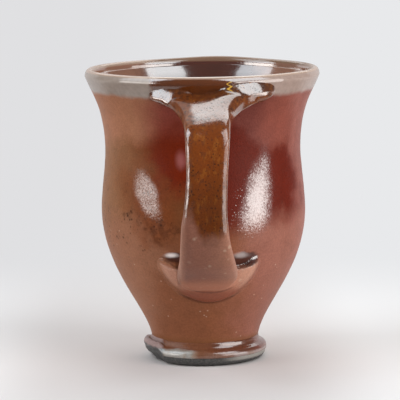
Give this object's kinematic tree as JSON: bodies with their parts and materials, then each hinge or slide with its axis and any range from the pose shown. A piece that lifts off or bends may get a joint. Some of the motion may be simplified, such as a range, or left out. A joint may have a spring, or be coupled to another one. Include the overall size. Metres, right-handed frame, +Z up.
{
  "type": "mug",
  "caption": "Hand-thrown stoneware mug with a flared lip, soft belly, narrow flared foot and a pulled strap handle webbed to the rim, for hot or cold drinks.",
  "frame": {"origin": "centre of the foot's flat underside, on the axis of the thrown wall", "axes": "+Z up along the axis of the thrown wall, -Y out through the middle of the handle, +X to the right as seen from the handle's side"},
  "size_m": [0.0938, 0.1248, 0.117],
  "materials": {
    "flashed_clay": "satin fired stoneware, flashed tan to brick red",
    "bare_clay": "bare dark grey clay",
    "ash_glaze": "pale grey glossy run",
    "amber_glaze": "glossy speckled amber brown",
    "liner_glaze": "glossy dark red brown",
    "rim_glaze": "glossy lavender grey"
  },
  "bodies": {
    "root": {"cup_body": "flashed_clay", "foot_disc": "bare_clay", "foot_glaze": "ash_glaze", "handle_strap": "amber_glaze", "rim_web_left": "amber_glaze", "rim_web_right": "amber_glaze", "tail_coil": "flashed_clay", "liner_glaze": "liner_glaze", "rim_glaze": "rim_glaze"}
  },
  "joints": []
}
